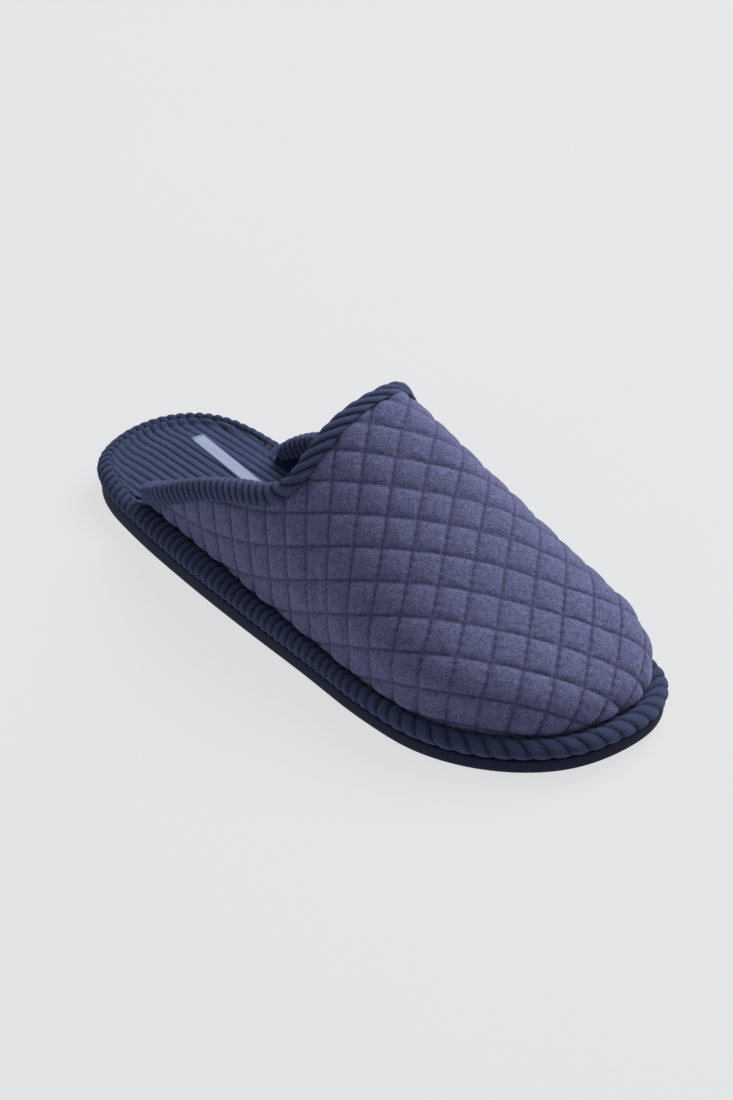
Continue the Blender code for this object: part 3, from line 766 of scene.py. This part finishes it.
binding_tree = tree_of("binding")
turns = np.radians(np.linspace(-ROPE_OPEN, ROPE_OPEN, ROPE_ROUND))
places = np.arange(len(middle)) * (rope_length / (len(middle) - 1))
from_end = np.minimum(places, rope_length - places)
near_end = share_of(from_end, 0.0, TIP_LENGTH)[:, None]
ends = np.maximum(np.sqrt(1.0 - (1.0 - near_end) ** 2), TIP_LEFT)
centre = middle - outward * ROPE_UNDER
centre[:, 2:] -= TIP_DIVE * (1.0 - near_end) ** 2
reach = np.zeros((len(middle), ROPE_ROUND))
for i in range(len(middle)):
    for j, turn in enumerate(turns):
        ray = Vector(outward[i] * math.cos(turn) + across[i] * math.sin(turn))
        hit = binding_tree.ray_cast(Vector(centre[i]) + ray * RAY_FROM, -ray, RAY_FROM)
        depth = (RAY_FROM - hit[3]) if hit[0] is not None else 0.0
        usual = 1.0 / math.hypot(math.cos(turn) / OVAL[0], math.sin(turn) / OVAL[1])
        reach[i, j] = depth if LIKELY[0] < depth < LIKELY[1] else usual
reach = smooth_along(reach, 6.0, False)
print("binding radius", round(float(reach.min()) / MM, 1), "to", round(float(reach.max()) / MM, 1))

# %% Thin the binding where it is stretched
# Over the peak the strip is pulled thin and sits lower, most of all on its outer side.
PEAK_FROM = 84.0 * MM
PEAK_FADE = 11.0 * MM
PEAK_LOWER = 0.6 * MM
PEAK_THIN = 0.26
ARCH_FROM = 62.0 * MM
ARCH_FADE = 12.0 * MM
ARCH_THIN = 0.13
OUTER_FROM = math.radians(40.0)
OUTER_FADE = math.radians(60.0)

peak = smooth_along(share_of(middle[:, 2:3], PEAK_FROM, PEAK_FADE), 10.0, False)
high = smooth_along(share_of(middle[:, 2:3], ARCH_FROM, ARCH_FADE), 8.0, False)
centre -= outward * peak * PEAK_LOWER
outer_side = share_of(turns, OUTER_FROM, OUTER_FADE)[None, :]
reach = reach * (1.0 - PEAK_THIN * peak) * (1.0 - ARCH_THIN * high * outer_side)
print("binding thinned to", round(float(reach.min()) / MM, 1), "mm")

# %% Wind the wales round the binding
# Distance between strands along the wings and over the arch, and the width of one strand.
ROPE_WING = 4.0 * MM
ROPE_ARCH = 6.8 * MM
STRAND = 3.7 * MM
# Each strand winds at least so much that one follows the next within this way round.
STRAND_LONGEST = 11.0 * MM
STRAND_SHARP = 0.55
STRAND_RISE = 1.2 * MM
STRAND_SINK = 0.75 * MM
STRAND_FADE = math.radians(16.0)

rope_pitch = ROPE_WING + (ROPE_ARCH - ROPE_WING) * high
steepest = 1.0 / STRAND**2 - 1.0 / rope_pitch**2
rope_slant = np.sqrt(np.maximum(steepest, (1.0 / STRAND_LONGEST) ** 2))
strands = np.cumsum(ROPE_STEP / rope_pitch, axis=0)
rope_phase = strands - turns[None, :] * OVAL[1] * rope_slant
rope_relief = wale(rope_phase, STRAND_SHARP) * uneven(rope_phase, 0.10)
at_edge = share_of(math.radians(ROPE_OPEN) - np.abs(turns), 0.0, STRAND_FADE)[None, :]
skin = (reach + (rope_relief * STRAND_RISE - STRAND_SINK) * at_edge) * ends
print("strands along the binding", round(float(strands[-1, 0])))

# %% Make the binding
# The last four points of each ring line the slot that the wall of the upper stands in.
SLOT = ((2.25, -3.0), (2.25, 0.6), (-2.25, 0.6), (-2.25, -3.0))

out_part = outward[:, None, :] * np.cos(turns)[None, :, None]
side_part = across[:, None, :] * np.sin(turns)[None, :, None]
rope_grid = centre[:, None, :] + (out_part + side_part) * skin[:, :, None]
slot_grid = np.stack([centre + (across * a + outward * b) * MM * ends for a, b in SLOT], 1)
rope_grid = np.concatenate([rope_grid, slot_grid], axis=1)
rope_relief = np.concatenate([rope_relief, np.zeros((len(middle), len(SLOT)))], axis=1)
binding = grid_piece("binding_rope", rope_grid, False, True, rope_relief, CORD_ROPE)
fix_normals(binding)
print("binding faces", len(binding.data.polygons))

# %% [markdown]
# The platform's edge is wrapped in the same corduroy, also cut on the bias, glued down
# over the rim and rolled in towards the insole. Its outline is found with level rays from
# outside. Round the toe the strip is stretched, so its wales lie further apart and lean.


# %% Outline of the wrap
WRAP_STEP = 0.46 * MM
WRAP_HEIGHT = 12.3 * MM
OUTSIDE = 0.25
RAYS_ROUND = 1440


def outline_at(tree, height, step):
    """Closed outline of a solid at a height, at even steps, from level rays."""
    points = []
    for k in range(RAYS_ROUND):
        turn = 2.0 * math.pi * k / RAYS_ROUND
        ray = Vector((math.cos(turn), math.sin(turn), 0.0))
        start = ray * OUTSIDE + Vector((0.0, 0.0, height))
        points.append(tree.ray_cast(start, -ray, OUTSIDE)[0][:])
    points = even_steps(np.array(points), step, True)[0]
    return even_steps(smooth_along(points, 8.0, True), step, True)


wrap_tree = tree_of("foxing_wrap")
wrap_line, wrap_length = outline_at(wrap_tree, WRAP_HEIGHT, WRAP_STEP)
wrap_run = rows_of(np.roll(wrap_line, -1, axis=0) - np.roll(wrap_line, 1, axis=0))
wrap_out = np.stack([wrap_run[:, 1], -wrap_run[:, 0], np.zeros(len(wrap_run))], 1)
print("wrap", len(wrap_line), "stations", round(wrap_length / MM, 1), "mm")

# %% Measure the frame's wrap
# The roll is measured from a line inside it, from below the outer side up and over.
WRAP_ROUND = 26
WRAP_FROM = -34.0
WRAP_TO = 172.0
ROLL = 4.6
CORE_HEIGHT = 3.2 * MM
UNDER_ROLL = 5.0 * MM
BELOW = np.array([0.0, 0.0, 20.0 * MM])
WRAP_RAY = 14.0 * MM
UP = Vector((0.0, 0.0, 1.0))

bottom = []
for point, out in zip(wrap_line, wrap_out):
    bottom.append(wrap_tree.ray_cast(Vector(point - out * UNDER_ROLL - BELOW), UP)[0].z)
bottom = smooth_along(np.array(bottom), 12.0, True)
core = wrap_line - wrap_out * (ROLL * MM)
core[:, 2] = bottom + CORE_HEIGHT
lifts = np.radians(np.linspace(WRAP_FROM, WRAP_TO, WRAP_ROUND))
spread = np.full((len(core), WRAP_ROUND), np.nan)
for i in range(len(core)):
    for j, lift in enumerate(lifts):
        ray = Vector(wrap_out[i] * math.cos(lift)) + UP * math.sin(lift)
        hit = wrap_tree.ray_cast(Vector(core[i]) + ray * WRAP_RAY, -ray, WRAP_RAY)
        if hit[0] is not None:
            spread[i, j] = WRAP_RAY - hit[3]
for j in range(WRAP_ROUND):
    gaps = np.isnan(spread[:, j])
    known = np.flatnonzero(~gaps)
    spread[gaps, j] = np.interp(np.flatnonzero(gaps), known, spread[known, j])
spread = smooth_along(spread, 7.0, True)
print("wrap radius", round(float(spread.min()) / MM, 1), "to", round(float(spread.max()) / MM, 1))

# %% Wind the wales round the wrap
# Distance between wales along the sides and round the toe, and where the toe begins.
WALE_SIDE = 4.4 * MM
WALE_TOE = 7.4 * MM
TOE_FROM = 45.0 * MM
TOE_FADE = 50.0 * MM
# How much wales lean, counted in wales for each millimetre round, and how much more at the toe.
LEAN = 0.035
LEAN_MORE = 0.055
# How high they stand along the sides and at the toe, how much of that lies below the solid's
# own surface, and how they fade where the strip is tucked in.
WRAP_SHARP = 0.42
RIDGE_SIDE = 1.25 * MM
RIDGE_TOE = 0.90 * MM
RIDGE_SUNK = 0.68
RIDGE_FADE = math.radians(30.0)
# At the heel the insole laps over the inner half of the roll, which is pressed down there.
HEEL_FROM = 88.0 * MM
HEEL_FADE = 14.0 * MM
HEEL_PRESS = 1.5 * MM
LAP_FROM = math.radians(84.0)
LAP_FADE = math.radians(26.0)

toe = share_of(-wrap_line[:, 1], TOE_FROM, TOE_FADE)
wales = np.cumsum(wrap_length / len(wrap_line) / (WALE_SIDE + (WALE_TOE - WALE_SIDE) * toe))
wales *= round(wales[-1]) / wales[-1]
round_wrap = (lifts - lifts[0])[None, :] * ROLL
wrap_phase = wales[:, None] + round_wrap * (LEAN + LEAN_MORE * toe[:, None])
wrap_relief = wale(wrap_phase, WRAP_SHARP) * uneven(wrap_phase, 0.08)
tucked = share_of(math.radians(WRAP_TO) - lifts, 0.0, RIDGE_FADE)[None, :]
ridge = RIDGE_SIDE + (RIDGE_TOE - RIDGE_SIDE) * toe[:, None]
spread += (wrap_relief - RIDGE_SUNK) * ridge * tucked
heel = share_of(wrap_line[:, 1], HEEL_FROM, HEEL_FADE)
lapped = ease(share_of(lifts, LAP_FROM, LAP_FADE))
spread -= HEEL_PRESS * heel[:, None] * lapped[None, :]
print("wales round the wrap", round(float(wales[-1])))

# %% Make the wrap
out_part = wrap_out[:, None, :] * np.cos(lifts)[None, :, None]
up_part = np.array(UP) * np.sin(lifts)[None, :, None]
wrap_grid = core[:, None, :] + (out_part + up_part) * spread[:, :, None]
wrap_grid[:, :, 2] = np.maximum(wrap_grid[:, :, 2], bottom[:, None])
inner_low = wrap_grid[:, -1, :].copy()
inner_low[:, 2] = bottom
wrap_grid = np.concatenate([wrap_grid, inner_low[:, None, :]], axis=1)
wrap_relief = np.concatenate([wrap_relief, np.zeros((len(core), 1))], axis=1)
wrap = grid_piece("corduroy_wrap", wrap_grid, True, True, wrap_relief, CORD_WRAP)
fix_normals(wrap)
print("wrap faces", len(wrap.data.polygons))

# %% [markdown]
# The insole is corduroy over foam, with its wales straight from heel to toe. A grid runs
# across the insole between its two sides, close-set across the wales and open along them,
# and each point is dropped onto the frame's insole before the wales are raised. At the heel
# the corduroy is drawn over the roll of the wrap, so only the roll's outer half shows.


# %% Outline of the insole
ACROSS = 250
LENGTHS = 130
HEEL_LAP = 5.6 * MM
# Rays keep this far from the solid's toe end, heel end and sides, where they could miss it.
END_GAP = 0.3 * MM
HEEL_GAP = 1.5 * MM
SIDE_HEIGHT = 3.0 * MM
SIDE_GAP = 1.4 * MM
FAR_SIDE = 0.1
OVERHEAD = 0.05
DOWN = Vector((0.0, 0.0, -1.0))
RIGHT = Vector((1.0, 0.0, 0.0))

insole_tree = tree_of("insole")
insole_low, insole_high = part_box("insole")
rim = wrap_line[:, :2] - wrap_out[:, :2] * HEEL_LAP
rim = np.roll(rim, -int(np.argmax(rim[:, 1])), axis=0)
toe_end = int(np.argmin(rim[:, 1]))
rim_left = rim[: toe_end + 1][::-1]
rim_right = rim[toe_end:]
places = 0.5 - 0.5 * np.cos(np.pi * np.linspace(0.0, 1.0, LENGTHS))
heel_end = rim[:, 1].max() - END_GAP
stations = heel_end - (heel_end - insole_low.y - END_GAP) * places
print("insole from", round(stations[0], 4), "to", round(stations[-1], 4))

# %% Drop the grid onto the insole
grid = np.zeros((LENGTHS, ACROSS, 3))
level = insole_low.z + SIDE_HEIGHT
for i, y in enumerate(stations):
    held = min(max(y, insole_low.y + END_GAP), insole_high.y - HEEL_GAP)
    left = insole_tree.ray_cast(Vector((-FAR_SIDE, held, level)), RIGHT)[0].x
    right = insole_tree.ray_cast(Vector((FAR_SIDE, held, level)), -RIGHT)[0].x
    lap = float(share_of(y, HEEL_FROM, HEEL_FADE))
    from_x = left + (np.interp(y, rim_left[:, 1], rim_left[:, 0]) - left) * lap
    to_x = right + (np.interp(y, rim_right[:, 1], rim_right[:, 0]) - right) * lap
    for j in range(ACROSS):
        x = from_x + (to_x - from_x) * j / (ACROSS - 1)
        inside = min(max(x, left + SIDE_GAP), right - SIDE_GAP)
        z = insole_tree.ray_cast(Vector((inside, held, OVERHEAD)), DOWN)[0].z
        over = wrap_tree.ray_cast(Vector((x, y, OVERHEAD)), DOWN)[0]
        if lap > 0.0 and over is not None:
            z = max(z, z + (over.z - z) * lap)
        grid[i, j] = (x, y, z)
grid[:, :, 2] = smooth_along(grid[:, :, 2].T, 3.0, False).T
print("insole top", round(float(grid[:, :, 2].max()), 4))

# %% Raise the wales of the insole
WALE_INSOLE = 4.0 * MM
WALE_SHARP = 0.5
WALE_RISE = 1.0 * MM
WALE_SINK = 0.6 * MM
EDGE_ROLL = 1.1 * MM
INSOLE_DEEP = 4.0 * MM

flat_rim = np.column_stack([rim, np.zeros(len(rim))])
flat_grid = grid.reshape(-1, 3) * np.array([1.0, 1.0, 0.0])
to_rim = distances(flat_rim, flat_grid).reshape(LENGTHS, ACROSS)
grid[:, :, 2] -= EDGE_ROLL * np.exp(-((to_rim / EDGE_ROLL) ** 2))
insole_relief = wale(grid[:, :, 0] / WALE_INSOLE, WALE_SHARP)
grid[:, :, 2] += insole_relief * WALE_RISE - WALE_SINK
top = grid_piece("corduroy_insole", grid, False, False, insole_relief, CORD_SOLE)
start_editing(top)
bpy.ops.mesh.region_to_loop()
bpy.ops.mesh.extrude_region_move(TRANSFORM_OT_translate={"value": DOWN * INSOLE_DEEP})
bpy.ops.mesh.edge_face_add()
stop_editing()
fix_normals(top)
print("insole faces", len(top.data.polygons))

# %% [markdown]
# The outsole is moulded in one piece, so its edge is a smooth curve. A copy of the frame's
# solid is merged and divided twice. Its tread is seen only from below, so a bump that works
# on faces that look down is enough.


# %% Smooth outsole
sole = merged_copy("rubber_outsole", "outsole")
stop_editing()
refine(sole, 2, False)
sole.data.materials.clear()
sole.data.materials.append(RUBBER)
print("outsole faces", len(sole.data.polygons))

# %% [markdown]
# The label is a narrow satin ribbon with plain woven borders, sewn down at both ends with a
# few straight stitches. Satin is glossy along its threads, so it is the one cloth here with
# some shine. A ribbon lies over the wales and dips a little between them. It stays bare.


# %% Material: woven ribbon
# Millimetres. Ribbon threads are far finer than this, and are drawn coarser so that they show.
RIBBON_THREADS = 2.4


def make_ribbon(turn):
    """Polyester satin ribbon: pale grey-blue, a little glossy, with darker borders."""
    material, tree, shader = start_material("woven_satin_ribbon")
    place = add_node(tree, "ShaderNodeTexCoord")
    turned = {"Rotation": (0.0, 0.0, -turn)}
    along = add_node(tree, "ShaderNodeMapping", turned, {"Vector": (place, "Object")})
    weave = {"Scale": spots(RIBBON_THREADS), "Distortion": 1.5}
    threads = add_node(tree, "ShaderNodeTexWave", weave, {"Vector": (along, 0)})
    relief = add_node(tree, "ShaderNodeAttribute", {"attribute_name": "relief"})
    tones = {"data_type": "RGBA", 6: linear("#76839f"), 7: linear("#94a1c0")}
    satin = add_node(tree, "ShaderNodeMix", tones, {0: (threads, "Fac")})
    edge = {"data_type": "RGBA", 6: linear("#4b5878")}
    edged = add_node(tree, "ShaderNodeMix", edge, {0: (relief, "Fac"), 7: (satin, 2)})
    fine = {"Strength": 0.4, "Distance": 0.1 * MM}
    bump = add_node(tree, "ShaderNodeBump", fine, {"Height": (threads, "Fac")})
    sockets = {"Roughness": 0.45, "Specular IOR Level": 0.4, "Sheen Weight": 0.2}
    return finish_material(material, shader, (edged, 2), (bump, 0), sockets)


# %% Place of the label
label_tree = tree_of("label")
corners = np.array([v.co[:] for v in NODES["label"].data.vertices])
label_middle = 0.5 * (corners.min(0) + corners.max(0))[:2]
from_label = corners[:, :2] - label_middle
label_along = np.linalg.svd(from_label)[2][0]
label_across = np.array([-label_along[1], label_along[0]])
label_turn = math.atan2(label_along[1], label_along[0])
half_long = np.abs(from_label @ label_along).max()
half_wide = np.abs(from_label @ label_across).max()


def label_top(spot):
    """Height of the frame's label at a place: its nearest point, looked for from above."""
    above = corners[:, 2].max() + 0.5 * MM
    return label_tree.find_nearest(Vector((spot[0], spot[1], above)))[0].z


print("label", round(half_long * 2 / MM, 1), "by", round(half_wide * 2 / MM, 1), "mm")

# %% Weave the label
ALONG_RIBBON = 161
ACROSS_RIBBON = 25
DIP = 0.14 * MM
FOLD_LENGTH = 2.4 * MM
FOLD_RISE = 0.12 * MM
EDGE_WIDTH = 0.4 * MM
EDGE_DROP = 0.35 * MM
BORDER_WIDTH = 0.75 * MM
RIBBON_THICK = np.array([0.0, 0.0, 0.8 * MM])

ribbon_grid = np.zeros((ALONG_RIBBON, ACROSS_RIBBON + 2, 3))
ribbon_relief = np.zeros((ALONG_RIBBON, ACROSS_RIBBON + 2))
for i, u in enumerate(np.linspace(-1.0, 1.0, ALONG_RIBBON)):
    to_end = half_long * (1.0 - abs(u))
    for j, v in enumerate(np.linspace(-1.0, 1.0, ACROSS_RIBBON)):
        to_side = half_wide * (1.0 - abs(v))
        spot = label_middle + label_along * half_long * u + label_across * half_wide * v
        dip = DIP * (wale(spot[0] / WALE_INSOLE, WALE_SHARP) - 1.0)
        fold = FOLD_RISE if to_end < FOLD_LENGTH else 0.0
        drop = EDGE_DROP * max(0.0, 1.0 - min(to_side, to_end) / EDGE_WIDTH) ** 2
        ribbon_grid[i, j] = (spot[0], spot[1], label_top(spot) + dip + fold - drop)
        ribbon_relief[i, j] = 0.0 if to_side < BORDER_WIDTH else 1.0
    ribbon_grid[i, -2] = ribbon_grid[i, -3] - RIBBON_THICK
    ribbon_grid[i, -1] = ribbon_grid[i, 0] - RIBBON_THICK
finish = make_ribbon(label_turn)
ribbon = grid_piece("woven_label", ribbon_grid, False, True, ribbon_relief, finish)
fix_normals(ribbon)
print("ribbon faces", len(ribbon.data.polygons), "turned", round(math.degrees(label_turn), 1))

# %% Sew the label down
STITCHES = 5
STITCH_APART = 1.15 * MM
STITCH_IN = 1.3 * MM
STITCH_SIZE = (0.48 * MM, 0.22 * MM, 0.20 * MM)
STITCH_RISE = 0.08 * MM

parts = []
for end in (-1.0, 1.0):
    for k in range(STITCHES):
        spot = label_middle + label_along * end * (half_long - STITCH_IN)
        spot = spot + label_across * (k - (STITCHES - 1) / 2) * STITCH_APART
        bpy.ops.object.select_all(action="DESELECT")
        bpy.ops.mesh.primitive_uv_sphere_add(segments=10, ring_count=6, radius=1.0)
        stitch = bpy.context.active_object
        stitch.scale = STITCH_SIZE
        stitch.rotation_euler = (0.0, 0.0, label_turn)
        stitch.location = (spot[0], spot[1], label_top(spot) + STITCH_RISE)
        parts.append(stitch)
bpy.ops.object.select_all(action="DESELECT")
for stitch in parts:
    stitch.select_set(True)
bpy.context.view_layer.objects.active = parts[0]
bpy.ops.object.join()
bpy.ops.object.transform_apply(location=True, rotation=True, scale=True)
stitches = bpy.context.active_object
stitches.name = "label_stitches"
stitches.data.shade_smooth()
stitches.data.materials.append(THREAD)
print("stitches", len(parts))

# %% [markdown]
# Nothing on a slipper moves, so every piece rides on the one body. Each skin takes the place
# of its solid in the frame.


# %% Tie the pieces to the frame
for piece, node in (
    (cover, "upper"),
    (binding, "binding"),
    (wrap, "foxing_wrap"),
    (top, "insole"),
    (sole, "outsole"),
    (ribbon, "label"),
):
    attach(piece, "root")
    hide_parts(node)
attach(stitches, "root")
print("tied to the root", [p.name for p in (cover, binding, wrap, top, sole, ribbon, stitches)])

# %% [markdown]
# The slipper stands on a pale table that is lit from below, so shadows stay faint. One large
# soft box on the inner side gives the slow fall of light over the quilting, and an even
# room fills the rest. The colours are shown as they are, with no film curve.


# %% Floor and light
FLOOR_SIZE = 12.0
FLOOR_GLOW = 0.755
LAMP_PLACE = Vector((1.35, 0.05, 1.75))
LAMP_SIZE = 1.7
LAMP_POWER = 72.0
LAMP_AIM = Vector((0.0, 0.0, 0.03))
ROOM_LIGHT = 0.36

bpy.ops.mesh.primitive_plane_add(size=FLOOR_SIZE, location=(0.0, 0.0, 0.0))
floor = bpy.context.active_object
floor.name = "floor"
# Lit acrylic sheet: even and matt, with no grain that shows.
tones = ("#444548", "#464749")
board = make_plain("lit_acrylic_table", tones, size=300.0, bump=0.0, rough=0.9, level=0.1)
glow = board.node_tree.nodes["Principled BSDF"]
glow.inputs["Emission Color"].default_value = linear("#f5f6f8")
glow.inputs["Emission Strength"].default_value = FLOOR_GLOW
floor.data.materials.append(board)

bpy.ops.object.light_add(type="AREA", location=LAMP_PLACE)
lamp = bpy.context.active_object
lamp.name = "key_softbox"
lamp.data.shape = "DISK"
lamp.data.size = LAMP_SIZE
lamp.data.energy = LAMP_POWER
lamp.data.color = linear("#fffdfa")[:3]
lamp.rotation_euler = (LAMP_AIM - LAMP_PLACE).to_track_quat("-Z", "Y").to_euler()

world = bpy.context.scene.world or bpy.data.worlds.new("studio")
bpy.context.scene.world = world
world.use_nodes = True
room = world.node_tree.nodes["Background"]
room.inputs["Color"].default_value = linear("#f3f3f4")
room.inputs["Strength"].default_value = ROOM_LIGHT
bpy.context.scene.view_settings.view_transform = "Standard"

# %% [markdown]
# The camera stands in front of the toe, on the outer side of the shoe, a metre and a half
# away and a third of the way up to overhead. A long lens keeps the sides of the shoe nearly
# parallel, and the shoe fills most of the picture's width.


# %% Camera
VIEW_TURN = math.radians(50.160)
VIEW_LIFT = math.radians(33.524)
VIEW_FAR = 1.4914
VIEW_FOOT = Vector((0.0007, -0.001, 0.0))
VIEW_AIM = Vector((0.002, -0.004, 0.026))

bpy.ops.object.camera_add()
camera = bpy.context.active_object
level_far = VIEW_FAR * math.cos(VIEW_LIFT)
camera.location = VIEW_FOOT + Vector(
    (
        -level_far * math.cos(VIEW_TURN),
        -level_far * math.sin(VIEW_TURN),
        VIEW_FAR * math.sin(VIEW_LIFT),
    )
)
camera.rotation_euler = (VIEW_AIM - camera.location).to_track_quat("-Z", "Y").to_euler()
camera.data.sensor_fit = "VERTICAL"
camera.data.sensor_height = 36.0
camera.data.lens = 125.0
bpy.context.scene.camera = camera
print("camera at", [round(c, 3) for c in camera.location])

# %% [markdown]
# Last, the view layer is brought up to date.


# %% Finish
bpy.context.view_layer.update()
